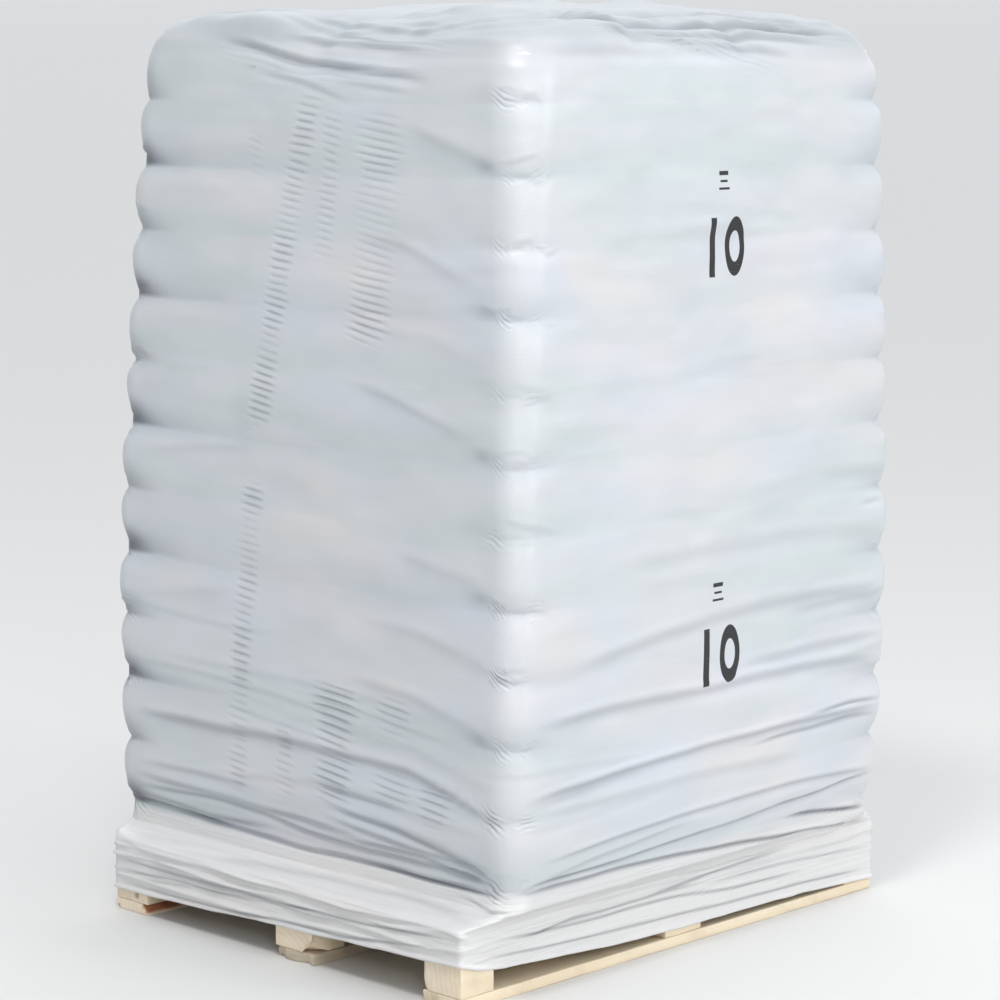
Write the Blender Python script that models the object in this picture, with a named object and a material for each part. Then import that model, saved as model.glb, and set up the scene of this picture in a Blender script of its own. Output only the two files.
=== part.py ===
"""Wooden pallet carrying twelve layers of filled sacks under one stretched film hood.

Metres, Z up, the floor at z = 0. X runs along the pallet's long side and Y along its short side.
"""

import math

import bmesh
import bpy

# Pallet
PALLET_LENGTH = 1.2
PALLET_WIDTH = 1.0
BOARD_THICKNESS = 0.022
BLOCK_HEIGHT = 0.0831
BLOCK_LENGTHS = (0.086, 0.106, 0.086)
BLOCK_WIDTHS = (0.097, 0.105, 0.098)
MIDDLE_BLOCK_X = 0.012
MIDDLE_BLOCK_Y = -0.042
BOTTOM_BOARD_WIDTHS = (0.100, 0.110, 0.100)
DECK_BOARD_COUNT = 7
DECK_BOARD_WIDTH = 0.118
WOOD_EDGE = 0.002
SEAT = 0.0003

# Stack of sacks
LAYER_COUNT = 12
LAYER_PITCH = 0.1296
FIRST_CINCH_Z = 0.214
STACK_HALF = 0.565
STACK_X = 0.024
STACK_TURN = math.radians(1.0)
STACK_TOP = 1.797
CINCH_DEPTH = 0.016
SACK_EDGE_DEPTH = 0.020
SHOULDER_DEPTH = 0.0055
SHOULDER_FRACTION = 0.15

# The stack's sides draw in towards its top and its foot, its corners grow rounder, and it leans
TOP_TAPER = 0.022
TOP_TAPER_FROM = 0.75
TOP_TAPER_RISE = 0.95
TOP_TAPER_POWER = 1.2
FOOT_TAPER = 0.008
FOOT_TAPER_FROM = 0.55
FOOT_TAPER_DROP = 0.30
CORNER = 0.058
TOP_CORNER_GROWTH = 0.034
CORNER_GROWTH_FROM = 0.80
CORNER_GROWTH_RISE = 0.90
CORNER_GROWTH_POWER = 1.3
SMALLEST_CORNER = 0.020
LEAN_X = 0.0125
LEAN_Y = -0.0128
LEAN_LEVEL = 0.95

# Joints between the sacks of a layer
ROW_OF_THREE_SHARE = 0.424
JOINT_DEPTH = 0.012
JOINT_HALF_WIDTH = 0.009
JOINT_SIDE_DEPTH = 0.045
CUTTER_REACH = 0.010

# Film hood
FILM_THICKNESS = 0.0020
FILM_GAP = 0.0004
FILM_PALLET_GAP = 0.0008
FILM_PALLET_CORNER = 0.003
HEM_FRONT = 0.083
HEM_LEFT = 0.043
HEM_RIGHT = 0.031
HEM_BACK = 0.045
CORNER_STEPS = 4

DECK_TOP = 3 * BOARD_THICKNESS + BLOCK_HEIGHT + 3 * SEAT
LAYER_GAP = SEAT / 2


def clear_scene():
    for obj in list(bpy.data.objects):
        bpy.data.objects.remove(obj, do_unlink=True)


def material(name, colour, roughness):
    made = bpy.data.materials.new(name)
    made.use_nodes = True
    made.diffuse_color = (*colour, 1.0)
    shader = made.node_tree.nodes["Principled BSDF"]
    shader.inputs["Base Color"].default_value = (*colour, 1.0)
    shader.inputs["Roughness"].default_value = roughness
    shader.inputs["Metallic"].default_value = 0.0
    return made


def add_object(name, mesh, look):
    """The mesh as an object with a material of its own; look is (colour, roughness)."""
    mesh.materials.append(material(name + "_material", *look))
    obj = bpy.data.objects.new(name, mesh)
    bpy.context.scene.collection.objects.link(obj)
    return obj


WOOD = ((0.74, 0.58, 0.38), 0.75)
SACK = ((0.86, 0.87, 0.86), 0.50)
FILM = ((0.82, 0.84, 0.86), 0.30)


def add_timber(name, low, high):
    """A sawn board or block between two corners, with small worn edges."""
    mesh = bpy.data.meshes.new(name)
    solid = bmesh.new()
    bmesh.ops.create_cube(solid, size=1.0)
    for vert in solid.verts:
        for axis in range(3):
            vert.co[axis] = low[axis] if vert.co[axis] < 0 else high[axis]
    bmesh.ops.bevel(solid, geom=list(solid.edges), offset=WOOD_EDGE, segments=1, affect="EDGES")
    solid.to_mesh(mesh)
    solid.free()
    return add_object(name, mesh, WOOD)


def spans(total, sizes, middle):
    """Low and high ends of three pieces: one at each end of the total and one about the middle."""
    half = total / 2
    return (
        (-half, -half + sizes[0]),
        (middle - sizes[1] / 2, middle + sizes[1] / 2),
        (half - sizes[2], half),
    )


def add_pallet():
    half_length = PALLET_LENGTH / 2
    half_width = PALLET_WIDTH / 2
    columns = spans(PALLET_LENGTH, BLOCK_LENGTHS, MIDDLE_BLOCK_X)
    rows = spans(PALLET_WIDTH, BLOCK_WIDTHS, MIDDLE_BLOCK_Y)
    board_rows = spans(PALLET_WIDTH, BOTTOM_BOARD_WIDTHS, MIDDLE_BLOCK_Y)
    block_low = BOARD_THICKNESS + SEAT
    cross_low = block_low + BLOCK_HEIGHT + SEAT
    deck_low = cross_low + BOARD_THICKNESS + SEAT
    sides = ("front", "middle", "back")
    ends = ("left", "centre", "right")
    for side, (low, high) in zip(sides, board_rows):
        add_timber(f"bottom_board_{side}", (-half_length, low, 0.0), (half_length, high, BOARD_THICKNESS))
    for end, (x_low, x_high) in zip(ends, columns):
        for side, (y_low, y_high) in zip(sides, rows):
            add_timber(
                f"block_{end}_{side}",
                (x_low, y_low, block_low),
                (x_high, y_high, block_low + BLOCK_HEIGHT),
            )
        add_timber(
            f"cross_board_{end}",
            (x_low, -half_width, cross_low),
            (x_high, half_width, cross_low + BOARD_THICKNESS),
        )
    step = (PALLET_WIDTH - DECK_BOARD_WIDTH) / (DECK_BOARD_COUNT - 1)
    for index in range(DECK_BOARD_COUNT):
        low = -half_width + index * step
        add_timber(
            f"deck_board_{index + 1}",
            (-half_length, low, deck_low),
            (half_length, low + DECK_BOARD_WIDTH, DECK_TOP),
        )


def rounded_outline(half_x, half_y, radius):
    """Points of a rectangle with rounded corners, anticlockwise from the right of the front side."""
    points = []
    for corner in range(4):
        sign_x, sign_y = ((1, -1), (1, 1), (-1, 1), (-1, -1))[corner]
        start = (-90, 0, 90, 180)[corner]
        for step in range(CORNER_STEPS + 1):
            angle = math.radians(start + 90 * step / CORNER_STEPS)
            x = sign_x * (half_x - radius) + radius * math.cos(angle)
            y = sign_y * (half_y - radius) + radius * math.sin(angle)
            points.append((x, y))
    return points


def stack_place(x, y, z):
    """A point of the stack's own plan in the pallet's plan: the stack stands a little turned and leans."""
    cos_turn = math.cos(STACK_TURN)
    sin_turn = math.sin(STACK_TURN)
    rise = z - LEAN_LEVEL
    return (
        x * cos_turn - y * sin_turn + STACK_X + LEAN_X * rise,
        x * sin_turn + y * cos_turn + LEAN_Y * rise,
    )


def taper(z):
    """How far the stack's sides draw in towards its top and foot."""
    above = max(0.0, (z - TOP_TAPER_FROM) / TOP_TAPER_RISE)
    below = max(0.0, (FOOT_TAPER_FROM - z) / FOOT_TAPER_DROP)
    return TOP_TAPER * above**TOP_TAPER_POWER + FOOT_TAPER * below**2


def corner_radius(z):
    above = max(0.0, (z - CORNER_GROWTH_FROM) / CORNER_GROWTH_RISE)
    return CORNER + TOP_CORNER_GROWTH * above**CORNER_GROWTH_POWER


def stack_ring(inset, z):
    half = STACK_HALF - inset - taper(z)
    radius = max(corner_radius(z) - inset, SMALLEST_CORNER)
    return [(*stack_place(x, y, z), z) for x, y in rounded_outline(half, half, radius)]


def pallet_ring(outset, heights):
    """A ring round the pallet; heights holds its z at the corners, in the outline's order."""
    outline = rounded_outline(
        PALLET_LENGTH / 2 + outset,
        PALLET_WIDTH / 2 + outset,
        FILM_PALLET_CORNER + outset,
    )
    return [(x, y, heights[index // (CORNER_STEPS + 1)]) for index, (x, y) in enumerate(outline)]


def cinch_z(index):
    """Height of the film's groove under the layer with this index, counted from 0."""
    return FIRST_CINCH_Z + index * LAYER_PITCH


def foot_profile():
    """(inset, z) points of the lowest layer's side, up to its widest part."""
    return [(0.082, DECK_TOP + SEAT), (0.054, 0.162), (0.030, 0.182), (0.020, FIRST_CINCH_Z), (0.006, 0.245)]


def crown_profile():
    """(inset, z) points of the top layer, from its widest part to the flat of its top."""
    return [(0.0, 1.69), (0.006, 1.722), (0.022, 1.743), (0.052, 1.764), (0.112, 1.784), (0.222, STACK_TOP)]


def layer_profile(index):
    """(inset, z) points up the side of one layer of sacks."""
    low = cinch_z(index)
    high = cinch_z(index + 1)
    shoulder = SHOULDER_FRACTION * LAYER_PITCH
    bottom = [(SACK_EDGE_DEPTH, low + LAYER_GAP), (SHOULDER_DEPTH, low + shoulder)]
    top = [(SHOULDER_DEPTH, high - shoulder), (SACK_EDGE_DEPTH, high - LAYER_GAP)]
    if index == 0:
        bottom = foot_profile()
    if index == LAYER_COUNT - 1:
        return bottom + crown_profile()
    return bottom + [(0.0, (low + high) / 2)] + top


def film_profile():
    """(inset, z) points of the surface that the film lies on, from the foot of the stack up."""
    points = [(0.006, 0.175), (0.010, 0.192), (0.011, FIRST_CINCH_Z), (0.003, 0.245), (0.0, 0.279)]
    shoulder = SHOULDER_FRACTION * LAYER_PITCH
    for index in range(1, LAYER_COUNT):
        low = cinch_z(index)
        points += [(SHOULDER_DEPTH, low - shoulder), (CINCH_DEPTH, low), (SHOULDER_DEPTH, low + shoulder)]
        if index < LAYER_COUNT - 1:
            points.append((0.0, low + LAYER_PITCH / 2))
    points += [(0.0, 1.69), (0.006, 1.722), (0.021, 1.744)]
    points += [(0.050, 1.767), (0.110, 1.790), (0.220, 1.808), (0.340, 1.816)]
    return points


def offset_profile(points, distance):
    """The profile moved outwards by the distance, measured square to its segments."""
    moved = []
    last = len(points) - 1
    for index, (inset, z) in enumerate(points):
        normals = []
        for first in (index - 1, index):
            if 0 <= first < last:
                run = points[first + 1][0] - points[first][0]
                rise = points[first + 1][1] - points[first][1]
                length = math.hypot(run, rise)
                normals.append((-rise / length, run / length))
        across = sum(normal[0] for normal in normals)
        up = sum(normal[1] for normal in normals)
        size = math.hypot(across, up)
        across, up = across / size, up / size
        spread = across * normals[0][0] + up * normals[0][1]
        moved.append((inset + distance * across / spread, z + distance * up / spread))
    return moved


def lofted_mesh(name, rings):
    """A closed mesh through rings of equal length, with a flat face at each end."""
    count = len(rings[0])
    points = [point for ring in rings for point in ring]
    faces = [tuple(range(count)), tuple(range(len(points) - count, len(points)))]
    for ring in range(len(rings) - 1):
        for column in range(count):
            after = (column + 1) % count
            low = ring * count
            faces.append((low + column, low + after, low + count + after, low + count + column))
    mesh = bpy.data.meshes.new(name)
    mesh.from_pydata(points, [], faces)
    solid = bmesh.new()
    solid.from_mesh(mesh)
    bmesh.ops.recalc_face_normals(solid, faces=list(solid.faces))
    solid.to_mesh(mesh)
    solid.free()
    return mesh


def prism(solid, start, end, left, apex, right):
    """A three-sided bar between two points; the last three are offsets of its edges from its line."""
    near = [solid.verts.new([start[axis] + edge[axis] for axis in range(3)]) for edge in (left, apex, right)]
    far = [solid.verts.new([end[axis] + edge[axis] for axis in range(3)]) for edge in (left, apex, right)]
    faces = [solid.faces.new(near), solid.faces.new(far)]
    for corner in range(3):
        after = (corner + 1) % 3
        faces.append(solid.faces.new((near[corner], near[after], far[after], far[corner])))
    bmesh.ops.recalc_face_normals(solid, faces=faces)


def joint_lines(three_at_left):
    """Plan lines between the sacks of a layer, as (start, end, open at start, open at end).

    Three sacks lie along X in a row across one end, and four lie along Y over the rest.
    """
    size = 2 * STACK_HALF
    split = -STACK_HALF + ROW_OF_THREE_SHARE * size
    pair = (split + STACK_HALF) / 2
    third = size / 6
    lines = [
        ((split, -STACK_HALF), (split, STACK_HALF), True, True),
        ((pair, -STACK_HALF), (pair, STACK_HALF), True, True),
        ((split, 0.0), (STACK_HALF, 0.0), False, True),
        ((-STACK_HALF, -third), (split, -third), True, False),
        ((-STACK_HALF, third), (split, third), True, False),
    ]
    if three_at_left:
        return lines
    return [((-x0, -y0), (-x1, -y1), at0, at1) for (x0, y0), (x1, y1), at0, at1 in lines]


def add_joint_cutter(name, lines, low, high):
    """Bars that cut the gaps between the sacks into a layer's bottom, top and sides."""
    solid = bmesh.new()
    wide = JOINT_HALF_WIDTH * (JOINT_DEPTH + CUTTER_REACH) / JOINT_DEPTH
    side_wide = JOINT_HALF_WIDTH * (JOINT_SIDE_DEPTH + CUTTER_REACH) / JOINT_SIDE_DEPTH
    for start, end, open_start, open_end in lines:
        along_x = abs(end[0] - start[0]) > abs(end[1] - start[1])
        direction = (end[0] - start[0], end[1] - start[1])
        length = math.hypot(*direction)
        unit = (direction[0] / length, direction[1] / length)
        across = (0.0, 1.0) if along_x else (1.0, 0.0)
        reach0 = CUTTER_REACH if open_start else 0.0
        reach1 = CUTTER_REACH if open_end else 0.0
        first = (start[0] - unit[0] * reach0, start[1] - unit[1] * reach0)
        last = (end[0] + unit[0] * reach1, end[1] + unit[1] * reach1)
        for level, inward in ((low, 1), (high, -1)):
            left = (-across[0] * wide, -across[1] * wide, -inward * CUTTER_REACH)
            right = (across[0] * wide, across[1] * wide, -inward * CUTTER_REACH)
            prism(solid, (*first, level), (*last, level), left, (0.0, 0.0, inward * JOINT_DEPTH), right)
        for point, sign, is_open in ((start, 1, open_start), (end, -1, open_end)):
            if not is_open:
                continue
            inner = (sign * unit[0] * JOINT_SIDE_DEPTH, sign * unit[1] * JOINT_SIDE_DEPTH, 0.0)
            back = (-sign * unit[0] * CUTTER_REACH, -sign * unit[1] * CUTTER_REACH)
            left = (back[0] - across[0] * side_wide, back[1] - across[1] * side_wide, 0.0)
            right = (back[0] + across[0] * side_wide, back[1] + across[1] * side_wide, 0.0)
            under = (*point, low - 2 * CUTTER_REACH)
            over = (*point, high + 2 * CUTTER_REACH)
            prism(solid, under, over, left, inner, right)
    for vert in solid.verts:
        vert.co.x, vert.co.y = stack_place(*vert.co)
    mesh = bpy.data.meshes.new(name)
    solid.to_mesh(mesh)
    solid.free()
    cutter = bpy.data.objects.new(name, mesh)
    cutter.hide_render = True
    cutter.display_type = "WIRE"
    bpy.context.scene.collection.objects.link(cutter)
    return cutter


def add_sack_layers():
    for index in range(LAYER_COUNT):
        name = f"sack_layer_{index + 1:02d}"
        profile = layer_profile(index)
        mesh = lofted_mesh(name, [stack_ring(inset, z) for inset, z in profile])
        layer = add_object(name, mesh, SACK)
        lines = joint_lines(three_at_left=index % 2 == 0)
        cutter = add_joint_cutter(name + "_joints", lines, profile[0][1], profile[-1][1])
        cut = layer.modifiers.new("joints", "BOOLEAN")
        cut.operation = "DIFFERENCE"
        cut.solver = "EXACT"
        cut.use_self = True
        cut.object = cutter


def film_rings(distance, pallet_gap):
    """Rings of one face of the film, from the hem up to the flat of its top."""
    hem = (HEM_RIGHT, HEM_BACK, HEM_LEFT, HEM_FRONT)
    rim = (DECK_TOP + pallet_gap,) * 4
    rings = [pallet_ring(pallet_gap, hem), pallet_ring(pallet_gap, rim)]
    rings += [stack_ring(inset, z) for inset, z in offset_profile(film_profile(), distance)]
    return rings


def add_hood():
    outer = film_rings(FILM_GAP + FILM_THICKNESS, FILM_PALLET_GAP + FILM_THICKNESS)
    inner = film_rings(FILM_GAP, FILM_PALLET_GAP)
    add_object("stretch_hood", lofted_mesh("stretch_hood", outer[::-1] + inner), FILM)


def main():
    clear_scene()
    add_pallet()
    add_sack_layers()
    add_hood()


main()
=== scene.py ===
"""A wooden pallet of filled sacks under one stretched white film hood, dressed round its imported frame.

Metres, Z up, the floor at z = 0. X runs along the pallet's long side and Y along its short side.
"""

import functools
import itertools
import math

import bpy
import numpy as np
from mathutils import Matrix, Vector


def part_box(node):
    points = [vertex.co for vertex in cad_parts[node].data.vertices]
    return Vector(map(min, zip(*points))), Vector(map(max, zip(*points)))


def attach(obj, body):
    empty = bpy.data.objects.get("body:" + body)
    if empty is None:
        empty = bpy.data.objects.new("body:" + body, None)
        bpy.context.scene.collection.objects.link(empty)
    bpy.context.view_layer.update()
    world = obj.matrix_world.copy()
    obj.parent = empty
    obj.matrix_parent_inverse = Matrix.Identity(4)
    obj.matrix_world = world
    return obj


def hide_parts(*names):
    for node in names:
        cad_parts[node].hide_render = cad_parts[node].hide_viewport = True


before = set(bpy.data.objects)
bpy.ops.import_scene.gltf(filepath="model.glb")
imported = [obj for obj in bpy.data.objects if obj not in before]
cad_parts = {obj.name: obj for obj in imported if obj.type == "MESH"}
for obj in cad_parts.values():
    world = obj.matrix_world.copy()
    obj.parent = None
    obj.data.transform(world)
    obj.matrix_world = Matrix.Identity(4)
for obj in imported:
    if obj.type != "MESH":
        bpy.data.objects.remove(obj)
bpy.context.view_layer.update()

# Pallet and stack, as in the frame
PALLET_HALF = (0.6, 0.5)
DECK_TOP = 0.1500
LAYER_COUNT = 12
LAYER_PITCH = 0.1296
FIRST_CINCH_Z = 0.214
CINCHES = [FIRST_CINCH_Z + index * LAYER_PITCH for index in range(LAYER_COUNT)]
STACK_HALF = 0.565
STACK_SIDE = 2 * STACK_HALF
STACK_X = 0.024
STACK_TURN = math.radians(1.0)
LEAN_X = 0.0125
LEAN_Y = -0.0128
LEAN_LEVEL = 0.95

# A layer's joints: a row of three sacks across one end, and two pairs over the rest
SPLIT = -STACK_HALF + 0.424 * STACK_SIDE
PAIR = (SPLIT + STACK_HALF) / 2
THIRD = STACK_SIDE / 6

# Columns of the film's mesh: close round each corner and at the left face's ripples, wider along each face
CORNER_REACH = 0.090
CORNER_COLUMNS = (36, 20, 12, 22)
FACE_COLUMNS = (46, 18, 18, 60)
RIPPLED_PART = (0.26, 0.88)
RIPPLED_DENSITY = 2.1

# The film. Its level is a height up to SIDE_TOP, and from there on it grows with the way over the top
SIDE_RINGS = 353
SIDE_TOP = 1.690
FILM_HALF = STACK_HALF + 0.0024
FOOT_Z = 0.174
SHOULDER = 0.006
FOLD_GAIN = 1.6
TAPERED_TO = 1.72
DEEPEST_FOLD = 0.018

# The film's path over the stack's top edge, as (inset, height)
CROWN = (
    (0.000, 1.690),
    (0.005, 1.716),
    (0.017, 1.742),
    (0.040, 1.765),
    (0.085, 1.787),
    (0.160, 1.804),
    (0.260, 1.814),
    (0.400, 1.820),
    (0.550, 1.822),
)

# The hem's height at each corner, and along the right face as (parts of the face, heights)
HEM_AT_CORNER = np.array([0.083, 0.024, 0.045, 0.043])
HEM_ON_RIGHT = (
    (0.0, 0.05, 0.09, 0.25, 0.34, 0.55, 0.81, 1.0),
    (0.083, 0.068, 0.062, 0.051, 0.044, 0.037, 0.035, 0.024),
)

# The hem is folded back inside and rolls outwards into a thin bead, as (outset from the wood, height over
# the hem)
HEM_BEAD = (
    (0.0010, 0.0140),
    (0.0010, 0.0060),
    (0.0022, 0.0010),
    (0.0042, 0.0000),
    (0.0060, 0.0012),
    (0.0066, 0.0034),
    (0.0058, 0.0056),
    (0.0040, 0.0074),
    (0.0030, 0.0100),
)

# The printed number's place along the right face, and its two heights
PRINT_ALONG = 0.010
PRINT_LEVELS = (1.366, 0.581)


# Small helpers


def field(x, y, seed, period=128):
    """Smooth noise from -1 to 1 over a plane; one cell is one unit, and it repeats along x."""
    table = np.random.default_rng(seed).random((128, 128))
    x0, y0 = np.floor(x).astype(int), np.floor(y).astype(int)
    fx, fy = x - x0, y - y0
    fx = fx * fx * fx * (fx * (fx * 6 - 15) + 10)
    fy = fy * fy * fy * (fy * (fy * 6 - 15) + 10)
    a, b = table[x0 % period, y0 % 128], table[(x0 + 1) % period, y0 % 128]
    c, d = table[x0 % period, (y0 + 1) % 128], table[(x0 + 1) % period, (y0 + 1) % 128]
    return 2 * ((a * (1 - fx) + b * fx) * (1 - fy) + (c * (1 - fx) + d * fx) * fy) - 1


def smooth(low, high, value):
    t = np.clip((value - low) / (high - low), 0, 1)
    return t * t * (3 - 2 * t)


def bell(value, width):
    return np.exp(-((value / width) ** 2))


def spot(x, y, width, height):
    return np.exp(-((x / width) ** 2) - (y / height) ** 2)


def mesh_object(name, points, faces, attributes=None, uv=None):
    mesh = bpy.data.meshes.new(name)
    mesh.from_pydata(np.asarray(points).tolist(), [], faces)
    mesh.polygons.foreach_set("use_smooth", [True] * len(mesh.polygons))
    for key, values in (attributes or {}).items():
        made = mesh.attributes.new(key, "FLOAT", "POINT")
        made.data.foreach_set("value", np.asarray(values, np.float32).ravel())
    if uv is not None:
        layer = mesh.uv_layers.new(name="film")
        corner = np.zeros(len(mesh.loops), np.int32)
        mesh.loops.foreach_get("vertex_index", corner)
        layer.data.foreach_set("uv", np.asarray(uv(mesh, corner), np.float32).ravel())
    mesh.update()
    obj = bpy.data.objects.new(name, mesh)
    bpy.context.scene.collection.objects.link(obj)
    return obj


def put_on(piece, look, node):
    """Gives a piece its material, and its place in the frame: it rides on the body and replaces a node."""
    piece.data.materials.append(look)
    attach(piece, "root")
    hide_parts(node)


# Film hood


def column_layout():
    """Corner index, whether the column is beside a corner, and its place there, for each column."""
    corner, beside, place = [], [], []
    for index, (near, wide) in enumerate(zip(CORNER_COLUMNS, FACE_COLUMNS)):
        corner += [index] * (near + wide)
        beside += [True] * near + [False] * wide
        place += [-1 + 2 * step / (near - 1) for step in range(near)]
        place += [(step + 1) / (wide + 1) for step in range(wide)]
    corner, beside, place = np.array(corner), np.array(beside), np.array(place)
    left = (corner == 3) & ~beside
    fine = np.linspace(0, 1, 400)
    density = 1 + (RIPPLED_DENSITY - 1) * (fine > RIPPLED_PART[0]) * (fine < RIPPLED_PART[1])
    reached = np.concatenate([[0], np.cumsum((density[1:] + density[:-1]) / 2)])
    place[left] = np.interp(place[left], reached / reached[-1], fine)
    return corner, beside, place


COLUMN_CORNER, COLUMN_BESIDE, COLUMN_PLACE = column_layout()
COLUMNS = len(COLUMN_CORNER)


def along_side(side, reach):
    """How far each column is from its corner, on a side of this length."""
    return np.where(COLUMN_BESIDE, COLUMN_PLACE * reach, reach + COLUMN_PLACE * (side - 2 * reach))


# Arc length from the front corner to each column, anticlockwise, on the stack's own outline
OUTLINE_RADIUS = 0.065
SIDE_ARC = 2 * (STACK_HALF - OUTLINE_RADIUS) + math.pi / 2 * OUTLINE_RADIUS
ARC = COLUMN_CORNER * SIDE_ARC + along_side(SIDE_ARC, CORNER_REACH)
PERIMETER = 4 * SIDE_ARC


def outline(half_x, half_y, radius, reach=CORNER_REACH):
    """Points of a rounded rectangle at every column."""
    sign = np.array([(-1, -1), (1, -1), (1, 1), (-1, 1)])[COLUMN_CORNER]
    diagonal = np.radians((225 + 90 * COLUMN_CORNER) % 360)
    half_side = np.where(COLUMN_CORNER % 2 == 0, half_x, half_y)
    along = along_side(2 * (half_side - radius) + math.pi / 2 * radius, reach)
    quarter = math.pi / 4 * radius
    on_arc = np.clip(along, -quarter, quarter)
    angle = diagonal + on_arc / radius
    normal = np.stack([np.cos(angle), np.sin(angle)], axis=-1)
    tangent = np.stack([-np.sin(angle), np.cos(angle)], axis=-1)
    centre = sign * (half_x - radius, half_y - radius)
    return centre + radius * normal + tangent * (along - on_arc)[:, None]


def stack_to_world(points, z):
    """The stack stands a little turned and leans as it rises."""
    cos_turn, sin_turn = math.cos(STACK_TURN), math.sin(STACK_TURN)
    x = points[..., 0] * cos_turn - points[..., 1] * sin_turn + STACK_X + LEAN_X * (z - LEAN_LEVEL)
    y = points[..., 0] * sin_turn + points[..., 1] * cos_turn + LEAN_Y * (z - LEAN_LEVEL)
    return np.stack([x, y], axis=-1)


def taper(z):
    """How far the sides draw in towards the stack's top and its foot."""
    return 0.022 * max(0.0, (z - 0.75) / 0.95) ** 1.2 + 0.008 * max(0.0, (0.55 - z) / 0.30) ** 2


def corner_radius(z):
    return 0.056 + 0.034 * max(0.0, (z - 0.80) / 0.90) ** 1.3


def arc_of(face, along):
    """Arc length of a place on a face; along runs from its lower to its higher X or Y."""
    offset = along + SIDE_ARC / 2
    if face == "right":
        return offset
    if face == "left":
        return PERIMETER - offset
    return SIDE_ARC + offset if face == "end" else 3 * SIDE_ARC - offset


def wrap(difference):
    return (difference + PERIMETER / 2) % PERIMETER - PERIMETER / 2


def around(arc, cells, y, seed):
    """Smooth noise that closes on itself after one turn round the stack, with this many cells in the turn."""
    return field(arc / PERIMETER * cells, y, seed, cells)


def cinch_lift(arc):
    """How far the grooves wander up and down along the perimeter."""
    turn = arc / PERIMETER * 2 * math.pi
    return 0.0025 * np.sin(turn * 2 + 0.6) + 0.0018 * np.sin(turn * 5 + 2.0)


def face_and_part(arc):
    """The number of the face at an arc length, and how far along that face it is, from 0 to 1."""
    place = (arc % PERIMETER) / SIDE_ARC
    return np.floor(place).astype(int) % 4, place - np.floor(place)


def per_face(values, arc):
    """One value for each face, blended round the corners."""
    index, part = face_and_part(arc)
    before, after = 0.5 * smooth(0.05, 0.0, part), 0.5 * smooth(0.95, 1.0, part)
    here = values[index] * (1 - before - after)
    return here + values[(index - 1) % 4] * before + values[(index + 1) % 4] * after


def groove_depth(arc, z):
    """Depth of the film's grooves between the layers: deep at the corners, shallow in the faces' middles."""
    total = np.zeros(np.broadcast(arc, z).shape)
    notch = np.zeros_like(total)
    rng = np.random.default_rng(7)
    for index in range(1, LAYER_COUNT):
        uneven = 0.004 * around(arc, 22, z * 0 + index, 11)
        offset = (z - CINCHES[index] - cinch_lift(arc) - uneven) / LAYER_PITCH
        at_corner = rng.uniform(0.0150, 0.0190, 4)
        in_face = rng.uniform(0.0006, 0.0026, 4)
        reach = rng.uniform(0.070, 0.110, 4)
        wander = rng.uniform(-0.0022, 0.0022, 4)
        # The front corner and the left one go by pairs of layers, as in the photo
        paired = index % 2 == 0
        at_corner[0], reach[0], in_face[0] = 0.0115 if paired else 0.0080, 0.075, in_face[0] * 0.35
        at_corner[3], reach[3], in_face[3] = (0.0235, 0.200, 0.0028) if paired else (0.0165, 0.080, 0.0006)
        shallow = per_face(in_face, arc)
        depth, near = shallow, 0
        for corner in range(4):
            here = np.exp(-((np.abs(wrap(arc - corner * SIDE_ARC)) / reach[corner]) ** 1.5))
            depth = depth + (at_corner[corner] + wander[corner] - shallow) * here
            near = near + here
        # The film slopes in gently under the upper sack, most at corner 3, and steps out over the lower one
        under = 0.50 + (0.22 * here if paired else 0)
        width = np.where(offset > 0, under, 0.46)
        sharp = np.where(offset > 0, 1.25 + 0.75 * near, 1.5 + 1.2 * near)
        fall = np.clip(1 - np.abs(offset) / width, 0, 1) ** sharp
        total += depth * fall
        notch = np.maximum(notch, bell(offset, 0.12) * near)
    return total, notch


def crease(arc, z, start, end, width, depth, bend=0.0, lip=0.7):
    """A fold from start to end, each (arc, height): a narrow valley, a soft lip over it, and faded ends."""
    run = float(wrap(end[0] - start[0]))
    rise = end[1] - start[1]
    length = math.hypot(run, rise)
    x, y = wrap(arc - start[0]), z - start[1]
    t = (x * run + y * rise) / length**2
    across = (-x * rise + y * run) / length * (1 if run > 0 else -1)
    across = across - bend * 4 * np.clip(t, 0, 1) * (1 - np.clip(t, 0, 1))
    fade = smooth(-0.02, 0.22, t) * smooth(-0.02, 0.22, 1 - t)
    q = across / width
    return FOLD_GAIN * depth * fade * (lip * np.exp(-((q - 1.5) ** 2)) - np.exp(-(q**2)))


def spread_creases(rng, arc, z, count, centre, size, length, tilt, width, depth):
    """Many small folds round a place; centre and size are (arc, height)."""
    total = np.zeros(np.broadcast(arc, z).shape)
    for _ in range(count):
        x = centre[0] + rng.normal(0, size[0])
        y = centre[1] + rng.normal(0, size[1])
        angle = rng.normal(0, tilt)
        half = rng.uniform(*length) / 2
        a = (x - half * math.cos(angle), y - half * math.sin(angle))
        b = (x + half * math.cos(angle), y + half * math.sin(angle))
        total += crease(arc, z, a, b, rng.uniform(*width), rng.uniform(*depth), rng.normal(0, 0.006))
    return total


def hem_height():
    """Height of the hem at every column: it differs between the corners and wavers a little."""
    index, part = face_and_part(ARC)
    level = HEM_AT_CORNER[index] * (1 - part) + HEM_AT_CORNER[(index + 1) % 4] * part
    level = np.where(index == 0, np.interp(part, *HEM_ON_RIGHT), level)
    return level + 0.0016 * around(ARC, 40, ARC * 0, 21) + 0.0007 * around(ARC, 120, ARC * 0, 22)


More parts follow.
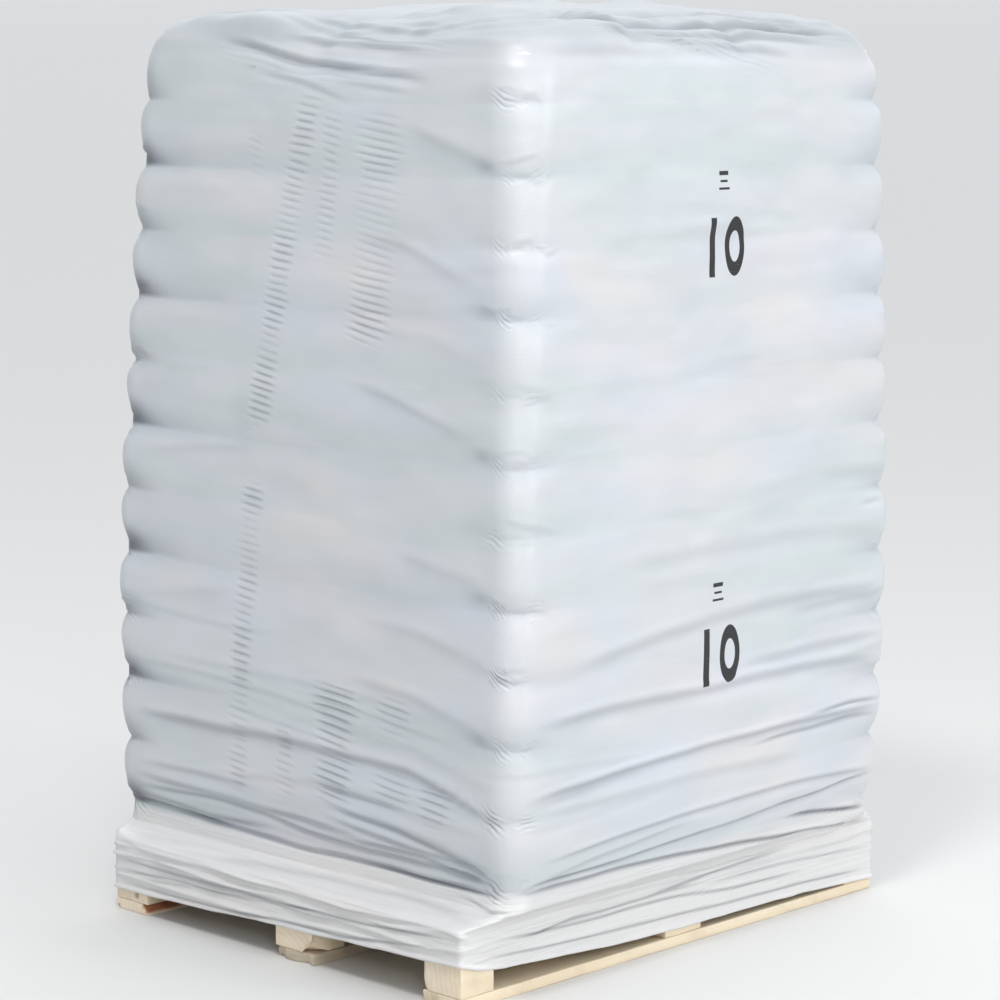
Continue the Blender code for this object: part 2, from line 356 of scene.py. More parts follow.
def film_base():
    """Plain rings of the film before its folds: points (rings, columns, 3), and each point's level."""
    hem = hem_height()
    rings, levels = [], []

    def add(ring, level):
        rings.append(ring)
        levels.append(np.broadcast_to(level, (COLUMNS,)))

    def pallet_ring(outset, height):
        flat = outline(PALLET_HALF[0] + outset, PALLET_HALF[1] + outset, 0.004 + outset)
        add(np.concatenate([flat, height[:, None]], axis=1), height)

    def stack_ring(half, z, radius):
        flat = outline(half, half, min(radius, 0.5 * half), CORNER_REACH * min(1.0, half / STACK_HALF))
        return np.concatenate([stack_to_world(flat, z), np.full((COLUMNS, 1), z)], axis=1)

    for outset, lift in HEM_BEAD:
        pallet_ring(outset, hem + lift)
    outset, lift = HEM_BEAD[-1]
    for part in np.linspace(0, 1, 30)[1:]:
        pallet_ring(outset, hem + lift + (DECK_TOP - 0.002 - hem - lift) * part)
    # From the deck's edge the film climbs to the foot of the stack
    rim = rings[-1]
    foot = stack_ring(FILM_HALF - 0.004 - taper(FOOT_Z), FOOT_Z, 0.060)
    for part in np.linspace(0, 1, 15)[1:]:
        ring = rim * (1 - part) + foot * part
        ring[:, 2] = rim[:, 2] + (foot[:, 2] - rim[:, 2]) * part**1.25
        ring[:, 2] += 0.0020 * math.sin(math.pi * min(1.0, part * 2.2)) * (part < 0.46)
        add(ring, ring[:, 2])
    # Round the stack's foot, then evenly up its sides
    for z in np.arange(0.1765, 0.213, 0.0030):
        add(stack_ring(FILM_HALF - (0.0045 + 0.167 * (z - 0.178)) - taper(z), z, 0.058), z)
    for z in np.linspace(FIRST_CINCH_Z, SIDE_TOP, SIDE_RINGS):
        rise = (z - FIRST_CINCH_Z) / 0.065
        inset = 0.010 * max(0.0, 1 - rise) ** 1.6 + SHOULDER * max(0.0, (z - 1.600) / 0.090) ** 2
        add(stack_ring(FILM_HALF - inset - taper(z), z, corner_radius(z)), z)
    # Over the shoulder and across the top
    crown = rounded_path([(-0.0045, 1.655), *CROWN])
    crown = crown[crown[:, 1] >= SIDE_TOP]
    inset, height = crown[:, 0] - crown[0, 0], crown[:, 1]
    travel = np.concatenate([[0], np.cumsum(np.hypot(np.diff(inset), np.diff(height)))])
    for step in [*np.arange(0.010, 0.150, 0.0046), *np.geomspace(0.150, 0.965 * travel[-1], 26)]:
        z = np.interp(step, travel, height)
        half = FILM_HALF - SHOULDER - np.interp(step, travel, inset) - taper(min(z, TAPERED_TO))
        add(stack_ring(half, z, corner_radius(SIDE_TOP)), SIDE_TOP + step)
    return np.array(rings), np.array(levels)


def rounded_path(points, rounds=4):
    """The path with its corners cut again and again, which leaves a smooth curve."""
    path = np.array(points, float)
    for _ in range(rounds):
        near = path[:-1] * 0.75 + path[1:] * 0.25
        far = path[:-1] * 0.25 + path[1:] * 0.75
        path = np.concatenate([path[:1], np.stack([near, far], axis=1).reshape(-1, 2), path[-1:]])
    return path


def normals_of(points):
    along = np.roll(points, -1, axis=1) - np.roll(points, 1, axis=1)
    up = np.empty_like(points)
    up[1:-1] = points[2:] - points[:-2]
    up[0] = points[1] - points[0]
    up[-1] = points[-1] - points[-2]
    normal = np.cross(along, up)
    return normal / np.maximum(np.linalg.norm(normal, axis=-1, keepdims=True), 1e-12)


# The long folds of each seen face. A row gives how far the fold reaches above and below its line and its
# depth, in tenths of a mm, the shade painted along it in hundredths, and the line itself as along, level,
# along, level and so on in mm
LEFT_FOLDS = (
    # The crisp foot line between the stack and the pallet
    (50, 60, 80, 14, -558, 203, -270, 207, 16, 203, 322, 214, 500, 222),
    (26, 26, 30, 62, -558, 203, -400, 205, -150, 207),
    (28, 28, 30, 52, 200, 210, 322, 214, 520, 223),
    # Folds drawn together towards the foot of the front corner
    (45, 60, 50, 26, -545, 214, -415, 233, -183, 231, 0, 239, 115, 254, 252, 262, 500, 252),
    (50, 60, 50, 30, 80, 226, 299, 223, 500, 238),
    (50, 80, 45, 20, -172, 256, 38, 262, 252, 270, 500, 276),
    (50, 60, 35, 22, -300, 325, -194, 333, -50, 342),
    (50, 90, 60, 30, -550, 216, -471, 249, -271, 284, -50, 305),
    (40, 50, 45, 30, -535, 221, -337, 245, -95, 246),
    (45, 60, 45, 22, -520, 232, -438, 249, -260, 261, -60, 281),
    (60, 90, 35, 10, -545, 240, -380, 275, -150, 306),
    (60, 120, 30, 14, 100, 300, 300, 305, 500, 298),
    # The long fold under the second layer
    (80, 340, 62, 24, -525, 335, -415, 374, -293, 402, -95, 408, 82, 411, 252, 407, 500, 402),
    (120, 400, 28, 4, -530, 392, -300, 440, -100, 452),
    # Soft wedges under the upper sacks, running down to the notches of the front corner
    (120, 500, 30, 4, -500, 1515, -249, 1590),
    (110, 550, 32, 5, -480, 1290, -260, 1373, -110, 1385),
    (120, 450, 20, 3, -490, 1160, -337, 1204, -128, 1218),
    (100, 600, 36, 6, -465, 1022, -227, 1094, -110, 1112),
    (120, 500, 28, 4, -490, 765, -240, 806),
    (120, 500, 30, 5, -500, 622, -300, 660, -140, 672),
    (110, 500, 34, 6, -510, 490, -300, 540, -110, 556),
    # Light ridges from the left corner
    (80, 240, 26, 3, 120, 968, 300, 958, 500, 930),
    (120, 300, 12, 2, 200, 1456, 500, 1462),
    (120, 300, 12, 2, 160, 1200, 500, 1196),
    (90, 280, 18, 2, 150, 690, 300, 668, 510, 632),
    # Under the stack's top edge
    (55, 130, 62, 30, -330, 1680, 38, 1710, 180, 1733, 320, 1750),
    (60, 140, 36, 10, -320, 1730, -100, 1744, 150, 1762),
    (90, 160, 40, 6, -350, 1772, -100, 1800, 180, 1842),
    (45, 90, 26, 14, -120, 1636, 30, 1672, 190, 1692),
    (50, 80, 22, 8, -290, 1655, -80, 1675),
    # The skirt
    (28, 30, 45, 60, -548, 133, -282, 115, -39, 110, 229, 107, 550, 106),
    (25, 26, 30, 18, -300, 108, -39, 104, 229, 102, 500, 99),
    (26, 26, 36, 46, 30, 98, 322, 93, 560, 86),
    (28, 26, 40, 52, -480, 106, -205, 80, 229, 62, 540, 58),
    (34, 60, 40, 22, -535, 158, -400, 166, -271, 168, -39, 164, 250, 156),
    (26, 40, 26, 8, -500, 144, -200, 133, 200, 130, 530, 124),
)
RIGHT_FOLDS = (
    (34, 46, 60, 62, -556, 203, -300, 207, -11, 196, 304, 176, 540, 157),
    (32, 90, 62, 70, -545, 208, -487, 218, -259, 222, 101, 236, 545, 264),
    (50, 80, 40, 14, -530, 214, -300, 240, -34, 262),
    (42, 90, 46, 30, -480, 256, -34, 281, 300, 284, 545, 270),
    (36, 45, 56, 85, 250, 216, 400, 205, 545, 190),
    (60, 160, 60, 30, -525, 376, -250, 398, 0, 404, 300, 408, 545, 402),
    (60, 80, 34, 10, -500, 362, -300, 386, -150, 392),
    (36, 46, 36, 50, 100, 385, 350, 394, 545, 388),
    (36, 46, 32, 46, 280, 420, 420, 424, 550, 418),
    (90, 160, 26, 4, -490, 340, -100, 350, 300, 338),
    (80, 200, 46, 20, -500, 512, -300, 520, -34, 516, 250, 520, 530, 506),
    (80, 160, 34, 10, 50, 548, 300, 556, 545, 548),
    (100, 240, 38, 14, -420, 604, -150, 640, 200, 662, 545, 648),
    (80, 140, 28, 10, 200, 632, 400, 640, 550, 634),
    (140, 320, 28, 5, -300, 775, 50, 786, 300, 780, 545, 762),
    (120, 280, 22, 4, 300, 895, 550, 885),
    # Gathered over the top edge, fanning out from the front corner
    (70, 100, 75, 40, -545, 1866, -236, 1815, 169, 1806, 475, 1768),
    (70, 80, 50, 26, -420, 1838, -100, 1822, 250, 1815, 450, 1792),
    (60, 90, 50, 26, -380, 1800, -146, 1772, 150, 1765, 400, 1752),
    (70, 110, 44, 22, -340, 1786, -146, 1756, 101, 1738, 260, 1722),
    (100, 140, 60, 20, -440, 1890, 146, 1888, 475, 1800),
    # The skirt
    (28, 30, 42, 60, -470, 118, -371, 108, -281, 120, -101, 118, 79, 132, 300, 140),
    (26, 28, 42, 66, -430, 112, -236, 107, -34, 103, 146, 88, 350, 80),
    (26, 28, 40, 60, -520, 88, -259, 76, 34, 64, 259, 57, 540, 47),
    (28, 36, 32, 16, -300, 140, 0, 134, 300, 122, 545, 116),
    (26, 30, 34, 44, 50, 112, 300, 108, 550, 92),
    (30, 60, 28, 8, -480, 160, -100, 152, 250, 140),
)


def level_folds(arc, level):
    """How far the long folds stand out, and the shade painted along them; the hidden faces mirror the seen
    ones.
    """
    total = np.zeros(np.broadcast(arc, level).shape)
    dark = np.zeros_like(total)
    # Each face by its folds, the corner that they run from, the way round, and their share
    sides = (
        (RIGHT_FOLDS, 0, 1, 1.0),
        (LEFT_FOLDS, 0, -1, 1.0),
        (RIGHT_FOLDS, 2, -1, 0.8),
        (LEFT_FOLDS, 2, 1, 0.8),
    )
    for folds, corner, turn, size in sides:
        along = wrap(arc - corner * SIDE_ARC) * turn - SIDE_ARC / 2
        for number, (above, below, depth, darkness, *line) in enumerate(folds):
            places, heights = np.reshape(line, (-1, 2)).T / 1000
            above, below, depth = above / 10000, below / 10000, depth / 10000
            near = (along > places[0] - 0.02) & (along < places[-1] + 0.02)
            near &= (level > heights.min() - 3 * below - 0.02) & (level < heights.max() + 4 * above + 0.02)
            x, y = along[near], level[near]
            waver = 0.0016 * (1 + 2 * corner) * field(x * 9, x * 0 + number, 91 + corner)
            path = np.interp(x, places, heights) + waver
            offset = y - path
            run = min(0.12, 0.3 * (places[-1] - places[0]))
            fade = smooth(places[0] - 0.010, places[0] + run, x)
            fade = fade * smooth(places[-1] + 0.010, places[-1] - run, x)
            q = np.where(offset > 0, offset / above, offset / below)
            lip = 0.45 * np.exp(-((offset / above - 1.8) ** 2))
            total[near] += size * depth * fade * (lip - np.exp(-(q**2)))
            # Painted shade along the fold's valley
            dark[near] += size * (darkness / 100) * fade * bell(offset, min(above, 0.010))
    # The print lies on a flatter place
    flat = spot(wrap(arc - arc_of("right", PRINT_ALONG)), level - 0.61, 0.10, 0.075)
    return total * (1 - 0.8 * flat), dark


# The fine level ripples' spacing and slope
RIPPLE_SPACING = 0.0152
RIPPLE_SLOPE = 0.11

# Strips of those ripples down the left face: the strip's line from its top, as y, z, y, z and so on in mm,
# its half width in mm, and the ripples' strength
RIPPLES = (
    ((0, 1655, 42, 1511, 85, 1263, 104, 1166, 128, 1020), 29, 1.15),
    ((138, 900, 145, 755, 163, 595, 176, 353, 178, 290), 26, 1.25),
    ((-190, 1620, -188, 1420, -165, 1190), 56, 1.00),
    ((-60, 1620, -45, 1340), 24, 0.45),
    ((168, 1580, 150, 1490), 22, 0.55),
    ((-100, 540, -92, 310), 52, 1.60),
    ((45, 440, 40, 300), 24, 1.00),
    ((-250, 535, -255, 455), 38, 1.10),
    ((-255, 405, -255, 325), 47, 1.70),
    ((-365, 390, -365, 310), 38, 1.60),
)

# Fine wrinkles at the top edge, as (face, along, level, half length, half height, spacing, slope, strength)
TOP_WRINKLES = (
    ("right", 0.020, 1.745, 0.110, 0.026, 0.0150, 0.30, 0.60),
    ("right", -0.260, 1.775, 0.120, 0.020, 0.0140, 0.22, 0.50),
    ("right", 0.340, 1.780, 0.130, 0.020, 0.0140, 0.12, 0.50),
    ("left", 0.060, 1.702, 0.200, 0.016, 0.0130, 0.10, 0.40),
    ("left", -0.180, 1.755, 0.160, 0.018, 0.0140, 0.06, 0.35),
)

# How strong the fans of wrinkles at the corners' notches are, as (levels, factors)
FAN_STRENGTH = ((0.2, 0.7, 0.85, 1.7), (2.0, 1.7, 0.7, 1.0))


def fine_wrinkles(arc, z):
    """Strength and phase of the wrinkles too fine for the mesh: level ripples, and fans at the notches."""
    along = -wrap(arc) - SIDE_ARC / 2
    strength = np.zeros(np.broadcast(arc, z).shape)
    phase = (z - RIPPLE_SLOPE * along) / RIPPLE_SPACING
    phase = phase + 1.1 * field(z * 2.6, along * 3.5, 34) + 0.22 * field(z * 16, along * 8, 38)
    for index, (line, half_width, size) in enumerate(RIPPLES):
        places, levels = np.reshape(line, (-1, 2))[::-1].T / 1000
        x = along - np.interp(z, levels, places)
        ragged = half_width / 1000 * (0.95 + 0.22 * field(z * 55, z * 0 + index, 33))
        mask = np.exp(-((x / ragged) ** 4))
        low, high = levels[0], levels[-1]
        mask *= smooth(low - 0.012, low + 0.020, z) * smooth(high + 0.012, high - 0.020, z)
        mask *= 0.66 + 0.42 * field(z * 17, z * 0 + index * 3, 35)
        strength = np.maximum(strength, mask * size)

    def lay(mask, here):
        mask = np.maximum(0, mask - 0.03)
        stronger = mask > strength
        strength[stronger] = mask[stronger]
        phase[stronger] = here[stronger]

    for face, at, level, half_along, half_level, spacing, slope, size in TOP_WRINKLES:
        x = wrap(arc - arc_of(face, at))
        mask = spot(x, z + slope * x - level, half_along, half_level)
        lay(mask * size, (z + slope * x) / spacing + 0.5 * field(x * 9, z * 12, 36))
    rng = np.random.default_rng(44)
    for corner, side, index in itertools.product(range(4), (-1, 1), range(LAYER_COUNT)):
        level = CINCHES[index] + rng.uniform(-0.004, 0.012)
        away = side * rng.uniform(0.026, 0.046)
        half = rng.uniform(0.012, 0.024), rng.uniform(0.010, 0.020)
        slope = rng.uniform(0.45, 1.0) if side < 0 else rng.uniform(-0.5, 0.1)
        size = rng.uniform(0.15, 0.75) * np.interp(level, *FAN_STRENGTH)
        if side > 0 or corner in (1, 2):
            size *= 0.45
        if corner == 3:
            slope, half, size = rng.uniform(0.5, 1.1), (0.036, 0.022), size * 1.3
        x = wrap(arc - corner * SIDE_ARC - away)
        mask = spot(x, z + 0.5 * slope * x - level, *half)
        spacing = rng.uniform(0.0095, 0.0135)
        lay(mask * size, (z + slope * x) / spacing + 0.55 * field(x * 40 + index, z * 30, 37))
    return strength, phase


def sack_faces(arc, z):
    """Valleys at the joints between the sacks, and how far each sack stands out from its neighbours."""
    total = np.zeros(np.broadcast(arc, z).shape)
    rng = np.random.default_rng(19)
    for index in range(LAYER_COUNT):
        middle = FIRST_CINCH_Z + (index + 0.5) * LAYER_PITCH
        inside = np.clip(1 - (np.abs(z - middle) / (0.62 * LAYER_PITCH)) ** 3, 0, 1)
        crown = index == LAYER_COUNT - 1
        if crown:
            inside = smooth(1.630, SIDE_TOP, z) * smooth(1.900, 1.790, z)
        sign = 1 if index % 2 == 0 else -1
        beside, middle_joint, thirds = sorted((sign * SPLIT, sign * PAIR)), (0.0,), (-THIRD, THIRD)
        left, end = (thirds, middle_joint) if sign == 1 else (middle_joint, thirds)
        for face, joints in (("right", beside), ("back", beside), ("left", left), ("end", end)):
            ends = (-STACK_HALF, *joints, STACK_HALF)
            for joint in joints:
                depth = rng.uniform(0.0016, 0.0034) * (0.40 + 2.6 * crown * smooth(SIDE_TOP, 1.750, z))
                total -= depth * inside * bell(wrap(arc - arc_of(face, joint)), 0.030)
            for low, high in zip(ends, ends[1:]):
                x = wrap(arc - arc_of(face, (low + high) / 2))
                half = (high - low) / 2
                out = rng.uniform(-0.0018, 0.0018)
                lean = rng.uniform(-0.0020, 0.0020)
                total += (out + lean * x / half) * inside * np.clip(1 - (np.abs(x) / half) ** 2, 0, 1)
    return total


# Folds scattered over the faces. A row is (place along each face as a part of it, level, count, spread along
# and up, lengths, tilt, widths, depths)
SCATTERED = (
    # Level pleats of the skirt and of the film's slope over the deck's edge
    (
        (0.5, 0.112, 14, (0.28, 0.026), (0.50, 1.00), 0.016, (0.0034, 0.0056), (0.0016, 0.0034)),
        (0.0, 0.130, 8, (0.10, 0.030), (0.10, 0.30), 0.10, (0.0034, 0.0052), (0.0016, 0.0036)),
    ),
    # Long shallow folds over every face, more of them low down
    (
        (0.5, 0.36, 9, (0.30, 0.13), (0.30, 0.80), 0.05, (0.007, 0.012), (0.0006, 0.0014)),
        (0.5, 1.10, 14, (0.30, 0.40), (0.20, 0.55), 0.07, (0.012, 0.022), (0.0003, 0.0009)),
        (0.5, 1.785, 7, (0.30, 0.035), (0.25, 0.70), 0.13, (0.008, 0.014), (0.0008, 0.0024)),
    ),
)
# Crumples where the film is pulled in at a corner, as (count, spread, lengths, tilt, widths, depths)
CRUMPLES = (3, (0.030, 0.014), (0.040, 0.090), 0.14, (0.0060, 0.0085), (0.0008, 0.0018))
# Pits where the film is drawn in beside a corner: how far off, their size and depth, and each corner's share
PIT_AWAY = 0.086
PIT_SIZE = (0.028, 0.014)
PIT_DEPTH = 0.0052
PIT_SHARE = (1.0, 0.15, 0.5, 0.5)


def folds_of(arc, level):
    """How far the film stands out of its plain rings, along their normals."""
    depth, notch = groove_depth(arc, np.clip(level, FIRST_CINCH_Z, TAPERED_TO))
    total = -depth * smooth(0.214, 0.260, level) * (1 - smooth(1.69, 1.74, level))
    total += sack_faces(arc, level) * smooth(0.200, 0.240, level)
    folds, shade = level_folds(arc, level)
    total += folds
    rng = np.random.default_rng(5)
    for corner in range(4):
        at = corner * SIDE_ARC
        for index, high in enumerate(CINCHES):
            strong = index % 2 == 0
            count, *shape = CRUMPLES
            crumple = spread_creases(rng, arc, level, count, (at, high + 0.004), *shape)
            total += crumple * (0.55 if corner == 0 else 1.0)
            pit = (1.0 if strong else 0.30) * PIT_SHARE[corner]
            pit = pit * spot(wrap(arc - at + PIT_AWAY), level - high - 0.016, *PIT_SIZE)
            total -= PIT_DEPTH * pit
            # The pit is also painted with shade
            shade = shade + 0.16 * pit
            if corner == 3:
                # The left corner's undersides turn away from the light: a wedge, widest at the notch
                up = (level - high) / LAYER_PITCH
                inward = wrap(arc - at) - 0.035
                width = np.where(inward > 0, 0.066 * (1 - 1.2 * np.clip(up, 0, 0.5)), 0.055)
                wedge = bell(inward, width) * smooth(-0.05, 0.03, up) * smooth(0.52, 0.06, up)
                shade = shade + (0.95 if strong else 0.42) * wedge
    # Two places with painted shade: the stack's foot on the left face, and the slope over the deck's edge on
    # the right one
    left = smooth(0.0, 0.03, -wrap(arc)) * smooth(SIDE_ARC, SIDE_ARC - 0.03, -wrap(arc))
    shade = shade + 0.08 * left * smooth(0.35, 0.24, level) * smooth(0.196, 0.212, level)
    right = smooth(0.02, 0.06, wrap(arc)) * smooth(SIDE_ARC + 0.02, SIDE_ARC - 0.02, wrap(arc))
    shade = shade + 0.13 * right * smooth(0.152, 0.166, level) * smooth(0.212, 0.196, level)
    for group in SCATTERED:
        for corner in range(4):
            for part, high, count, *shape in group:
                total += spread_creases(rng, arc, level, count, ((corner + part) * SIDE_ARC, high), *shape)
    # The sacks' round ends show through the top edge
    total += 0.006 * around(arc, 19, level * 6, 53) * smooth(1.680, 1.760, level)
    # Broad unevenness
    side = smooth(0.200, 0.240, level) * (1 - smooth(SIDE_TOP, 1.730, level))
    total += 0.0022 * around(arc, 31, level * 11, 51) * side
    total += 0.0009 * around(arc, 70, level * 30, 52)
    return total, notch, shade


def cloudiness(arc, z):
    """How far the film lies on the sacks: least over the lower half of each layer, most over its crest."""
    up = (z - FIRST_CINCH_Z) / LAYER_PITCH
    up = up + 0.30 * around(arc, 14, np.floor(up) * 1.37 + 0.5, 71) + 0.12 * around(arc, 36, z * 14, 72)
    layer = np.floor(up)
    part = up - layer
    touching = smooth(0.15, 0.60, part) * smooth(1.02, 0.84, part)
    sack = 0.5 + 0.5 * around(arc, 12, layer * 1.7 + 0.4, 74)
    patches = around(arc, 10, z * 4.6, 73) + 0.45 * around(arc, 24, z * 11, 75)
    return np.clip(0.5 + (touching - 0.5) * (0.15 + 0.85 * sack) * 0.8 + 0.48 * patches, 0, 1)


def film_top(points, level):
    """Shapes the loose top: broad waves, ridges, an ear of film over the left face, and two side corners."""
    x, y, z = points[..., 0], points[..., 1], points[..., 2]
    inner = smooth(1.76, 1.95, level)
    wave = 0.010 * field(x * 3.2 + 7, y * 3.2 + 2, 61) + 0.006 * field(x * 8 + 1, y * 8, 62)
    z = z + wave * inner
    # Long loose ridges, as (place, height, width)
    for offset, size, width in ((-0.22, 0.007, 0.030), (-0.08, 0.006, 0.022), (0.30, 0.007, 0.030)):
        bend = offset + 0.03 * np.sin(x * 5 + offset * 9) + 0.10 * x * (1 if offset < 0 else -1)
        z = z + size * inner * bell(y - bend, width)
    ear = bell(x + 0.47, 0.075) * bell(y - 0.20, 0.10)
    z = z + 0.022 * ear * smooth(1.74, 1.80, level)
    # The top stands fuller at its left corner, and its rim is flattened at the right one
    fuller = np.exp(-((x + 0.53) ** 2 + (y - 0.55) ** 2) / 0.32**2)
    z = z + 0.027 * fuller * smooth(1.650, 1.740, level)
    rim = np.exp(-((x - 0.58) ** 2 + (y + 0.57) ** 2) / 0.26**2)
    z = z + rim * (0.012 * smooth(1.745, 1.790, level) - 0.010 * bell(level - 1.725, 0.026))
    return np.stack([x, y, z], axis=-1)


def make_film():
    points, levels = film_base()
    arc = np.broadcast_to(ARC, levels.shape)
    normal = normals_of(points)
    lift, notch, shade = folds_of(arc, levels)
    strength, phase = fine_wrinkles(arc, levels)
    # The hem's bead stays nearly plain
    lift[: len(HEM_BEAD)] *= 0.1
    # The skirt lies against the wood, so its folds only stand outwards
    inward = 0.0012 + 0.015 * smooth(0.158, 0.198, levels)
    lift = np.maximum(lift, -inward) + 0.0012 * smooth(0.158, 0.152, levels)
    lift = lift * (1 - smooth(0.15, 0.45, levels - SIDE_TOP) * 0.2)
    # The folds run out over the top's edge, before the columns crowd
    fade = 1 - smooth(0.17, 0.33, levels - SIDE_TOP)
    points = points + normal * (lift * fade)[..., None]
    points = film_top(points, levels)
    used, faces = film_faces(len(points))
    arcs, ups = wrap(arc)[used], levels[used]

    def uv(mesh, corner):
        u, v = arcs[corner].copy(), ups[corner]
        # Faces over the coordinates' seam at the back corner run on past it
        first = np.zeros(len(mesh.polygons), np.int32)
        mesh.polygons.foreach_get("loop_start", first)
        owner = np.searchsorted(first, np.arange(len(u)), side="right") - 1
        far = np.maximum.reduceat(u, first)[owner] - u > PERIMETER / 2
        u[far & (owner < len(first) - 1)] += PERIMETER
        return np.stack([u, v], axis=1)

    attributes = {
        "notch": notch,
        "shade": np.clip(shade, 0, 1),
        "strength": strength,
        "phase": phase,
        "sunk": np.clip(-lift / DEEPEST_FOLD, 0, 1),
        "cloud": cloudiness(arc, levels),
        "skirt": smooth(0.215, 0.190, levels),
        # loose marks the top, where the film lies loose and its colour is painted darker as shade
        "loose": smooth(1.668, 1.800, levels + 0.012 * around(arc, 27, levels * 20, 77)),
        # edge marks the front corner, whose colour gets a painted highlight and whose fine crumples get their
        # bump
        "edge": bell(wrap(arc), 0.045) * smooth(0.20, 0.26, levels) * smooth(1.74, 1.66, levels),
    }
    attributes = {name: values[used] for name, values in attributes.items()}
    return mesh_object("film_hood", points[used], faces, attributes, uv)


def film_faces(rings):
    """The points in use and the film's faces: on the far faces only every second ring is used."""
    column = np.arange(COLUMNS)
    first = sum(CORNER_COLUMNS[:2]) + FACE_COLUMNS[0]
    last = first + FACE_COLUMNS[1] + CORNER_COLUMNS[2] + FACE_COLUMNS[2]
    sparse = (column >= first) & (column < last)
    used = np.ones((rings, COLUMNS), bool)
    used[1::2, sparse] = False
    number = np.cumsum(used).reshape(used.shape) - 1
    faces = []
    for here in range(COLUMNS):
        after = (here + 1) % COLUMNS
        step = 2 if sparse[here] or sparse[after] else 1
        rows = np.arange(0, rings - 1, step)
        loop = [number[rows, here], number[rows, after]]
        if step == 2 and not sparse[after]:
            loop.append(number[rows + 1, after])
        loop += [number[rows + step, after], number[rows + step, here]]
        if step == 2 and not sparse[here]:
            loop.append(number[rows + 1, here])
        faces += np.stack(loop, axis=1).tolist()
    faces.append(number[-1].tolist())
    return used, faces


# Materials


class Nodes:
    """Short calls for building the nodes of a material or a world; colours are given without their alpha."""

    def __init__(self, owner):
        owner.use_nodes = True
        self.tree = owner.node_tree

    def add(self, kind, inputs=(), **settings):
        node = self.tree.nodes.new(kind)
        for key, value in settings.items():
            setattr(node, key, value)
        self.fill(node, inputs)
        return node

    def fill(self, node, inputs):
        for key, value in dict(inputs).items():
            self.put(node.inputs[key], value)

    def put(self, socket, value):
        if isinstance(value, bpy.types.NodeSocket):
            self.tree.links.new(value, socket)
        else:
            socket.default_value = (*value, 1) if socket.type == "RGBA" else value

    def math(self, operation, *values):
        return self.add("ShaderNodeMath", dict(enumerate(values)), operation=operation).outputs[0]

    def times(self, first, second):
        return self.math("MULTIPLY", first, second)

    def minus(self, first, second):
        return self.math("SUBTRACT", first, second)

    def stretch(self, vector, scale, offset=(0, 0, 0)):
        scale = scale if isinstance(scale, tuple) else (scale,) * 3
        inputs = {"Vector": vector, "Scale": scale, "Location": offset}
        return self.add("ShaderNodeMapping", inputs).outputs[0]

    def noise(self, vector, scale, detail, roughness=0.5, distortion=0.0, offset=(0, 0, 0)):
        """Noise with its own scale along each axis."""
        vector = self.stretch(vector, scale, offset)
        inputs = {
            "Vector": vector,
            "Scale": 1.0,
            "Detail": detail,
            "Roughness": roughness,
            "Distortion": distortion,
        }
        return self.add("ShaderNodeTexNoise", inputs).outputs["Fac"]

    def cells(self, vector, scale, offset=(0, 0, 0)):
        inputs = {"Vector": self.stretch(vector, scale, offset), "Scale": 1.0}
        return self.add("ShaderNodeTexVoronoi", inputs).outputs["Distance"]

    def span(self, value, low, high, to_low=0.0, to_high=1.0, **settings):
        inputs = {"Value": value, "From Min": low, "From Max": high, "To Min": to_low, "To Max": to_high}
        return self.add("ShaderNodeMapRange", inputs, **settings).outputs[0]

    def mix(self, part, first, second):
        return self.add("ShaderNodeMix", {0: part, 6: first, 7: second}, data_type="RGBA").outputs[2]

    def toward(self, colour, part, share, other):
        """The colour, mixed with another one by a share of a part."""
        return self.mix(self.times(part, share), colour, other)

    def attribute(self, name):
        return self.add("ShaderNodeAttribute", attribute_name=name).outputs["Fac"]

    def bump(self, height, strength, distance, below=None):
        node = self.add("ShaderNodeBump", {"Strength": strength, "Distance": distance, "Height": height})
        if below is not None:
            self.put(node.inputs["Normal"], below)
        return node.outputs[0]

    def dress(self, **inputs):
        """Sets the shader's own sockets, named here in lower case and with _ for a space."""
        shader = self.tree.nodes["Principled BSDF"]
        self.fill(shader, {key.replace("_", " ").title(): value for key, value in inputs.items()})
        return shader


